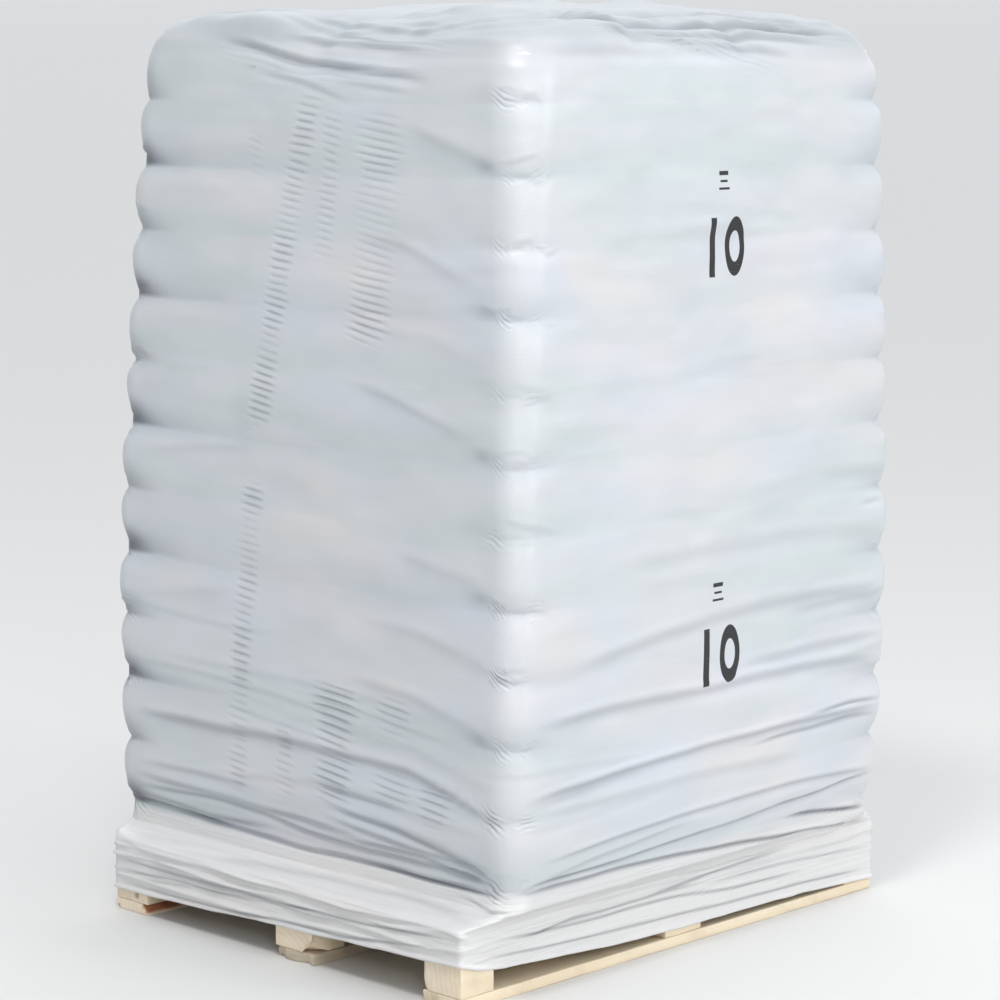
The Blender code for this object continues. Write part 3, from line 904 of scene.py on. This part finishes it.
def film_material():
    material = bpy.data.materials.new("film")
    made = Nodes(material)
    uv = made.add("ShaderNodeUVMap", uv_map="film").outputs[0]
    place = made.add("ShaderNodeTexCoord").outputs["Object"]
    edge, skirt, loose = made.attribute("edge"), made.attribute("skirt"), made.attribute("loose")

    def grain(side, top, detail):
        """Noise in the film's coordinates down the sides, and by place over the top, where those crowd."""
        return made.mix(loose, made.noise(uv, (*side, 1.0), detail), made.noise(place, top, detail))

    hue = made.span(grain((3.1, 4.3), 3.6, 1.0), 0.38, 0.62)
    warm = made.mix(hue, (0.606, 0.636, 0.702), (0.662, 0.656, 0.670))
    colour = made.mix(made.attribute("cloud"), (0.566, 0.617, 0.638), warm)
    # Along the front corner the film's colour is painted whiter: a painted highlight
    colour = made.toward(colour, edge, 0.34, (0.745, 0.755, 0.765))
    # The gathered skirt lies in several layers, so it is whiter
    colour = made.toward(colour, skirt, 0.85, (0.765, 0.755, 0.752))
    # Over the top the film lies loose, and its colour is painted darker there as shade
    colour = made.toward(colour, loose, 0.85, (0.345, 0.378, 0.402))
    haze = made.span(grain((9.0, 20.0), 13.0, 2.0), 0.35, 0.8)
    colour = made.toward(colour, haze, 0.14, (0.76, 0.78, 0.81))
    # Painted shade: darker where the film is sunk into its grooves, and along its folds, pits and the left
    # corner's undersides
    colour = made.toward(colour, made.attribute("sunk"), 0.42, (0.36, 0.41, 0.48))
    colour = made.mix(made.attribute("shade"), colour, (0.130, 0.145, 0.170))
    # Fine wrinkles stand as waves across the film
    wave = made.math("SINE", made.times(made.attribute("phase"), 2 * math.pi))
    valley = made.math("POWER", made.math("MULTIPLY_ADD", wave, 0.5, 0.5), 1.5)
    valley = made.times(valley, made.attribute("strength"))
    # Painted shade in the fine wrinkles' valleys
    colour = made.toward(colour, valley, 0.15, (0.26, 0.30, 0.36))
    worn = made.span(made.noise(uv, (260.0, 320.0, 1.0), 2.0), 0.16, 0.30)
    colour = made.toward(colour, print_mask(made, uv), worn, (0.018, 0.018, 0.020))
    bump = made.bump(grain((12.0, 60.0), 24.0, 2.0), 0.16, 0.0018)
    near = made.noise(uv, (120.0, 210.0, 1.0), 3.0, 0.6, 1.2)
    near = made.times(near, made.math("MAXIMUM", made.attribute("notch"), made.times(edge, 0.5)))
    bump = made.bump(near, 0.5, 0.0022, bump)
    bump = made.bump(made.minus(1.0, valley), 1.0, 0.0030, bump)
    # Thin lines run along the gathered skirt
    pleats = made.noise(uv, (1.3, 95.0, 1.0), 2.0, 0.5, 0.6)
    pleats = made.span(made.math("ABSOLUTE", made.minus(pleats, 0.5)), 0.0, 0.035)
    bump = made.bump(made.times(pleats, skirt), 0.5, 0.0012, bump)
    rough = made.span(grain((6.0, 14.0), 9.0, 0.0), 0.3, 0.7, 0.34, 0.42)
    shader = made.dress(base_color=colour, roughness=rough, normal=bump)
    shader.inputs["IOR"].default_value = 1.5
    return material


def print_mask(made, uv):
    """A plain number, 10, and three short bars over it, twice up the right face."""
    split = made.add("ShaderNodeSeparateXYZ", {0: uv})

    def within(half, value):
        return made.minus(half, made.math("ABSOLUTE", value))

    def box(x, y, half_x, half_y):
        return made.span(made.math("MINIMUM", within(half_x, x), within(half_y, y)), -0.0003, 0.0003)

    def squared(value, size):
        return made.math("POWER", made.math("DIVIDE", value, size), 2.0)

    def across(offset):
        return made.minus(split.outputs[0], arc_of("right", PRINT_ALONG) + offset)

    masks = []
    for level in PRINT_LEVELS:
        y = made.minus(split.outputs[1], level)
        ring = made.math("SQRT", made.math("ADD", squared(across(0.030), 0.026), squared(y, 0.050)))
        masks.append(box(across(-0.038), y, 0.0085, 0.056))
        masks.append(made.span(within(0.27, made.minus(ring, 0.86)), -0.006, 0.006))
        for lift, half, thick in ((0.110, 0.016, 0.0022), (0.124, 0.011, 0.0022), (0.139, 0.014, 0.0040)):
            masks.append(box(across(-0.008), made.minus(split.outputs[1], level + lift), half, thick))
    return functools.reduce(lambda first, second: made.math("MAXIMUM", first, second), masks)


def wood_material(name, grain, seed, tint, grey):
    """Pale sawn softwood: rings along the grain, saw marks, dirt, and bark where an edge is waney."""
    material = bpy.data.materials.new(name)
    made = Nodes(material)
    where = made.add("ShaderNodeTexCoord").outputs["Object"]
    shift = tuple(float(x) for x in np.random.default_rng(seed).uniform(-3, 3, 3))
    scale = [26.0] * 3
    scale[grain] = 1.6

    def tinted(*rgb):
        return tuple(value - tint for value in rgb)

    rings = made.noise(where, tuple(scale), 4.0, 0.55, 0.9, shift)
    lines = made.add(
        "ShaderNodeTexWave",
        {"Vector": made.stretch(where, tuple(scale), shift), "Scale": 0.9, "Distortion": 5.0, "Detail": 3.0,
         "Detail Scale": 0.7},
        wave_type="RINGS",
        rings_direction="XYZ"[grain],
    ).outputs["Fac"]
    colour = made.mix(made.span(rings, 0.35, 0.75), tinted(0.90, 0.80, 0.62), tinted(0.84, 0.71, 0.52))
    colour = made.toward(colour, made.span(lines, 0.55, 0.95), 0.26, tinted(0.70, 0.53, 0.35))
    knot = made.span(made.cells(where, 6.0, shift), 0.060, 0.030)
    colour = made.toward(colour, knot, 0.85, (0.20, 0.09, 0.04))
    dirt = made.noise(where, 9.0, 5.0, 0.6, 0.0, shift)
    colour = made.toward(colour, made.span(dirt, 0.52, 0.75), 0.30, (0.40, 0.29, 0.19))
    colour = made.toward(colour, made.attribute("end"), 0.30, (0.84, 0.74, 0.62))
    colour = made.toward(colour, made.span(dirt, 0.30, 0.60, 0.5, 1.0), grey, (0.40, 0.34, 0.27))
    bark = made.attribute("bark")
    barky = made.noise(where, 60.0, 4.0, 0.6)
    colour = made.mix(bark, colour, made.mix(barky, (0.16, 0.050, 0.022), (0.62, 0.27, 0.13)))
    saw = made.noise(where, tuple(2.2 * value for value in scale), 4.0, 0.6, 0.0, shift)
    bump = made.bump(made.times(barky, bark), 0.8, 0.004, made.bump(saw, 0.35, 0.0016))
    made.dress(base_color=colour, roughness=made.span(rings, 0.3, 0.7, 0.62, 0.85), normal=bump)
    return material


def sack_material():
    material = bpy.data.materials.new("sack")
    made = Nodes(material)
    where = made.add("ShaderNodeTexCoord").outputs["Object"]
    tone = made.noise(where, (5.0, 5.0, 8.0), 4.0)
    colour = made.mix(made.span(tone, 0.35, 0.7), (0.80, 0.81, 0.80), (0.88, 0.87, 0.84))
    pellets = made.bump(made.cells(where, 110.0), 0.35, 0.0015)
    bump = made.bump(made.noise(where, (30.0, 30.0, 60.0), 3.0), 0.4, 0.002, pellets)
    made.dress(base_color=colour, roughness=made.span(tone, 0.3, 0.7, 0.38, 0.55), normal=bump)
    return material


# Wood

# Waney edges, where the tree's own round shows, as (axis, side, axis, side, size)
WANES = {
    "bottom_board_middle": ((1, 1, 2, 1, 0.012),),
    "bottom_board_back": ((1, -1, 2, 1, 0.020), (1, 1, 2, -1, 0.014)),
    **{f"cross_board_{end}": ((0, 1, 2, -1, 0.008),) for end in ("left", "centre", "right")},
}

# Chips in the lower edge of the pallet's left end, as (nearer Y side, how far in from it, size, depth)
CHIPS = {
    "bottom_board_front": ((1, 0.02, 0.030, 0.010),),
    "bottom_board_middle": ((-1, 0.02, 0.034, 0.012), (1, 0.01, 0.030, 0.012)),
    "block_left_middle": ((-1, 0.0, 0.036, 0.020),),
    "block_left_front": ((1, 0.0, 0.014, 0.006),),
}

EDGE_ROUND = 0.0022


def lattice(low, high, cell):
    """Coordinates along one axis of a board: close at its ends, even between."""
    count = max(1, round((high - low - 2 * EDGE_ROUND) / cell))
    inner = np.linspace(low + EDGE_ROUND, high - EDGE_ROUND, count + 1)
    return np.concatenate([[low, low + EDGE_ROUND * 0.35], inner, [high - EDGE_ROUND * 0.35, high]])


def box_surface(axes):
    """Points and faces of a box's surface through a lattice, with shared points."""
    sizes = [len(a) for a in axes]
    number, points, faces = {}, [], []

    def vertex(i, j, k):
        if (i, j, k) not in number:
            number[i, j, k] = len(points)
            points.append((axes[0][i], axes[1][j], axes[2][k]))
        return number[i, j, k]

    for axis in range(3):
        a, b = (axis + 1) % 3, (axis + 2) % 3
        for end in (0, sizes[axis] - 1):
            for i in range(sizes[a] - 1):
                for j in range(sizes[b] - 1):
                    loop = []
                    for di, dj in ((0, 0), (1, 0), (1, 1), (0, 1)):
                        at = [0, 0, 0]
                        at[axis], at[a], at[b] = end, i + di, j + dj
                        loop.append(vertex(*at))
                    faces.append(loop if end else loop[::-1])
    return np.array(points), faces


def unit_length(vectors):
    return vectors / np.maximum(np.linalg.norm(vectors, axis=1, keepdims=True), 1e-9)


def make_timber(node, grain, seed, cell, grey=0.0):
    """A sawn board or block with worn edges in a node's place.

    The grain is the axis that it runs along, and the cell its mesh's step along and across the grain.
    """
    low, high = (np.array(corner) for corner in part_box(node))
    sizes = [cell[1]] * 3
    sizes[grain] = cell[0]
    points, faces = box_surface([lattice(low[k], high[k], sizes[k]) for k in range(3)])
    run = points[:, grain]
    round_by = EDGE_ROUND * (0.8 + 0.5 * field(run * 30 + seed, points.sum(axis=1) * 9, seed))[:, None]
    inner = np.clip(points, low + round_by, high - round_by)
    out = points - inner
    unit = unit_length(out)
    points = np.where(np.linalg.norm(out, axis=1, keepdims=True) > 1e-7, inner + unit * round_by, points)
    first, second = (points[:, k] for k in range(3) if k != grain)
    rough = 0.0006 * field(points[:, grain] * 18 + 5, (first - second) * 90, seed + 1)
    points = points - unit * np.abs(rough)[:, None]
    bark = np.zeros(len(points))
    for axis_a, side_a, axis_b, side_b, amount in WANES.get(node, ()):
        run = points[:, grain]
        away = np.abs(points[:, axis_a] - (high if side_a > 0 else low)[axis_a])
        away = away + np.abs(points[:, axis_b] - (high if side_b > 0 else low)[axis_b])
        wander = amount * (0.75 + 0.5 * field(run * 7 + seed, run * 0, seed + 2))
        cut = np.clip(wander * (1 + 0.25 * field(run * 45, run * 0, seed + 3)) - away, 0, None)
        points[:, axis_a] -= side_a * cut * 0.5
        points[:, axis_b] -= side_b * cut * 0.5
        bark = np.maximum(bark, smooth(0.0002, 0.0016, cut))
    for side, inward, amount, depth in CHIPS.get(node, ()):
        place = np.array((low[0], (high if side > 0 else low)[1] - side * inward, low[2]))
        away = np.linalg.norm(points - place, axis=1)
        uneven = field(points[:, 0] * 80, points[:, 1] * 80 + points[:, 2] * 60, seed + 4)
        ragged = amount * (1 + 0.5 * uneven)
        toward = (low + high) / 2 - points
        toward[:, grain] *= 0.3
        points += unit_length(toward) * (depth * np.clip(1 - away / ragged, 0, 1))[:, None]
    end = smooth(0.0022, 0.0008, np.minimum(points[:, grain] - low[grain], high[grain] - points[:, grain]))
    points = np.clip(points, low, high)
    piece = mesh_object(f"timber_{node}", points, faces, {"bark": bark, "end": end})
    tint = np.random.default_rng(seed).uniform(-0.03, 0.03)
    put_on(piece, wood_material(f"wood_{node}", grain, seed + 100, tint, grey), node)


def make_pallet():
    seeds = itertools.count(200, 7)
    for side in ("front", "middle", "back"):
        grey = 0.75 if side == "middle" else 0.0
        make_timber(f"bottom_board_{side}", 0, next(seeds), (0.016, 0.010), grey)
    for end in ("left", "centre", "right"):
        for side in ("front", "middle", "back"):
            make_timber(f"block_{end}_{side}", 0, next(seeds), (0.010, 0.009))
        make_timber(f"cross_board_{end}", 1, next(seeds), (0.016, 0.010))
    for index in range(7):
        make_timber(f"deck_board_{index + 1}", 0, next(seeds), (0.03, 0.014))


# Sacks


def pillow(low, high, seed):
    """A filled sack between two corners of its layer: full sides, pressed top and bottom, sealed ends."""
    t = np.linspace(-1, 1, 22)
    t = np.sign(t) * np.abs(t) ** 0.8
    points, faces = box_surface([t, t, np.linspace(-1, 1, 8)])
    half = (np.array(high) - np.array(low)) / 2
    middle = (np.array(high) + np.array(low)) / 2
    x, y, z = points.T
    edge = np.clip(1 - np.abs(x) ** 7, 0, 1) * np.clip(1 - np.abs(y) ** 7, 0, 1)
    thick = 0.16 + 0.84 * edge**0.45
    round_side = 1 - 0.045 * np.abs(z) ** 2.2
    px = x * round_side * (1 - 0.05 * np.abs(y) ** 4)
    py = y * round_side * (1 - 0.05 * np.abs(x) ** 4)
    run, other = (px, py) if half[0] > half[1] else (py, px)
    wrinkle = 0.035 * np.sin(other * 26 + 5 * field(run * 3, other * 2, seed))
    wrinkle = wrinkle * smooth(0.62, 0.98, np.abs(run))
    pz = z * thick * (1 + wrinkle)
    soft = 0.02 * field(px * 3 + seed, py * 3, seed + 1)
    pz = pz + soft * (1 - np.abs(pz)) * 0.6
    return np.stack([px, py, pz], axis=1) * half + middle, faces


def within_corners(points, half, radius):
    """The points of a square plan, with those outside its rounded corners drawn in to the rounding."""
    past = np.maximum(np.abs(points) - (half - radius), 0)
    reach = np.linalg.norm(past, axis=1, keepdims=True)
    drawn = np.where(reach > radius, past * radius / np.maximum(reach, 1e-9), past)
    both = (past > 0).all(axis=1, keepdims=True)
    return np.where(both, np.sign(points) * (half - radius + drawn), points)


def make_sacks():
    gap = 0.002
    look = sack_material()
    for index in range(LAYER_COUNT):
        node = f"sack_layer_{index + 1:02d}"
        low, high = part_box(node)
        slots = []
        for y0, y1 in ((-STACK_HALF, -THIRD), (-THIRD, THIRD), (THIRD, STACK_HALF)):
            slots.append((-STACK_HALF, SPLIT, y0, y1))
        for y0, y1 in ((-STACK_HALF, 0.0), (0.0, STACK_HALF)):
            slots += [(SPLIT, PAIR, y0, y1), (PAIR, STACK_HALF, y0, y1)]
        if index % 2:
            slots = [(-x1, -x0, -y1, -y0) for x0, x1, y0, y1 in slots]
        points, faces = [], []
        shrink = max(taper(high[2]), taper(low[2])) + (0.024 if index == 0 else 0.012)
        scale = (STACK_HALF - shrink) / STACK_HALF
        for number, (x0, x1, y0, y1) in enumerate(slots):
            corner_low = (x0 * scale + gap, y0 * scale + gap, low[2] + 0.0005)
            corner_high = (x1 * scale - gap, y1 * scale - gap, high[2] - 0.0005)
            made, loops = pillow(corner_low, corner_high, 300 + index * 10 + number)
            base = sum(len(p) for p in points)
            points.append(made)
            faces += [[base + v for v in loop] for loop in loops]
        points = np.concatenate(points)
        points[:, :2] = within_corners(points[:, :2], STACK_HALF - shrink, corner_radius(high[2]) + 0.004)
        if index == LAYER_COUNT - 1:
            # The top layer stays under the film's rounded top edge
            inset = STACK_HALF - taper(high[2]) - np.abs(points[:, :2]).max(axis=1)
            points[:, 2] = np.minimum(points[:, 2], np.interp(inset, *np.transpose(CROWN)) - 0.030)
        points[:, :2] = stack_to_world(points[:, :2], points[:, 2])
        piece = mesh_object(f"sacks_{index + 1:02d}", points, faces)
        put_on(piece, look, node)


# Stage

# The camera as fitted to the photo; its focal length is given as a share of the sensor's width
CAMERA_PLACE = (-4.47, -4.43, 1.75)
CAMERA_YAW = math.radians(44.7)
CAMERA_PITCH = math.radians(8.32)
FOCAL_SHARE = 3.135
SENSOR = 36.0
FLOOR_REACH = 400.0

# Lights as (name, place, target, diameter, power, colour)
WARM = (1.0, 0.968, 0.925)
LIGHTS = (
    ("key", (2.7, -7.4, 4.9), (0.0, 0.0, 0.9), 1.8, 36, WARM),
    ("low", (1.6, -6.6, 2.4), (0.1, -0.5, 0.1), 0.8, 48, WARM),
    ("glint", (-4.6, -5.6, 3.0), (-0.5, -0.5, 1.0), 1.0, 48, WARM),
    ("over", (-2.6, -1.5, 6.2), (-0.4, -0.2, 1.0), 1.4, 135, (1.0, 0.99, 0.97)),
)

# The sky's brightness as (direction, span along it, factors at the span's ends)
SKY = (
    ((0.0, 0.0, 1.0), (0.05, 0.95), (0.95, 1.25)),
    ((0.82, -0.57, 0.0), (-0.90, 0.05), (0.31, 1.0)),
    ((0.707, 0.707, 0.0), (0.30, 0.95), (1.0, 1.24)),
    ((0.0, 0.0, 1.0), (0.0, 0.12), (0.62, 1.0)),
)


def stand(data, place, forward):
    """A camera or light at a place, turned to face a direction."""
    obj = bpy.data.objects.new(data.name, data)
    obj.location = place
    obj.rotation_mode = "QUATERNION"
    obj.rotation_quaternion = forward.to_track_quat("-Z", "Y")
    bpy.context.scene.collection.objects.link(obj)
    return obj


def make_stage():
    scene = bpy.context.scene
    camera = bpy.data.cameras.new("camera")
    camera.sensor_width = SENSOR
    camera.lens = FOCAL_SHARE * SENSOR
    camera.clip_end = 900.0
    level = math.cos(CAMERA_PITCH)
    forward = Vector((math.cos(CAMERA_YAW) * level, math.sin(CAMERA_YAW) * level, -math.sin(CAMERA_PITCH)))
    scene.camera = stand(camera, CAMERA_PLACE, forward)

    mesh = bpy.data.meshes.new("floor")
    corners = [(FLOOR_REACH * x, FLOOR_REACH * y, 0) for x, y in ((-1, -1), (1, -1), (1, 1), (-1, 1))]
    mesh.from_pydata(corners, [], [(0, 1, 2, 3)])
    floor = bpy.data.objects.new("floor", mesh)
    scene.collection.objects.link(floor)
    look = bpy.data.materials.new("floor")
    Nodes(look).dress(base_color=(0.69, 0.69, 0.685), roughness=0.9)
    mesh.materials.append(look)

    make_world(scene)
    scene.view_settings.view_transform = "Standard"
    for name, place, target, size, power, colour in LIGHTS:
        light = bpy.data.lights.new(name, "AREA")
        light.shape = "DISK"
        light.size = size
        light.energy = power
        light.color = colour
        stand(light, place, Vector(target) - Vector(place))


def make_world(scene):
    """A soft sky that is brightest overhead and dimmer beyond the left end."""
    scene.world = bpy.data.worlds.new("studio")
    made = Nodes(scene.world)
    where = made.add("ShaderNodeTexCoord").outputs["Generated"]
    parts = []
    for direction, span, factors in SKY:
        along = made.add("ShaderNodeVectorMath", {0: where, 1: direction}, operation="DOT_PRODUCT")
        parts.append(made.span(along.outputs["Value"], *span, *factors, interpolation_type="SMOOTHSTEP"))
    strength = functools.reduce(made.times, parts)
    made.fill(made.tree.nodes["Background"], {"Color": (0.955, 0.977, 1.0), "Strength": strength})


make_stage()
make_pallet()
make_sacks()
film = make_film()
put_on(film, film_material(), "stretch_hood")
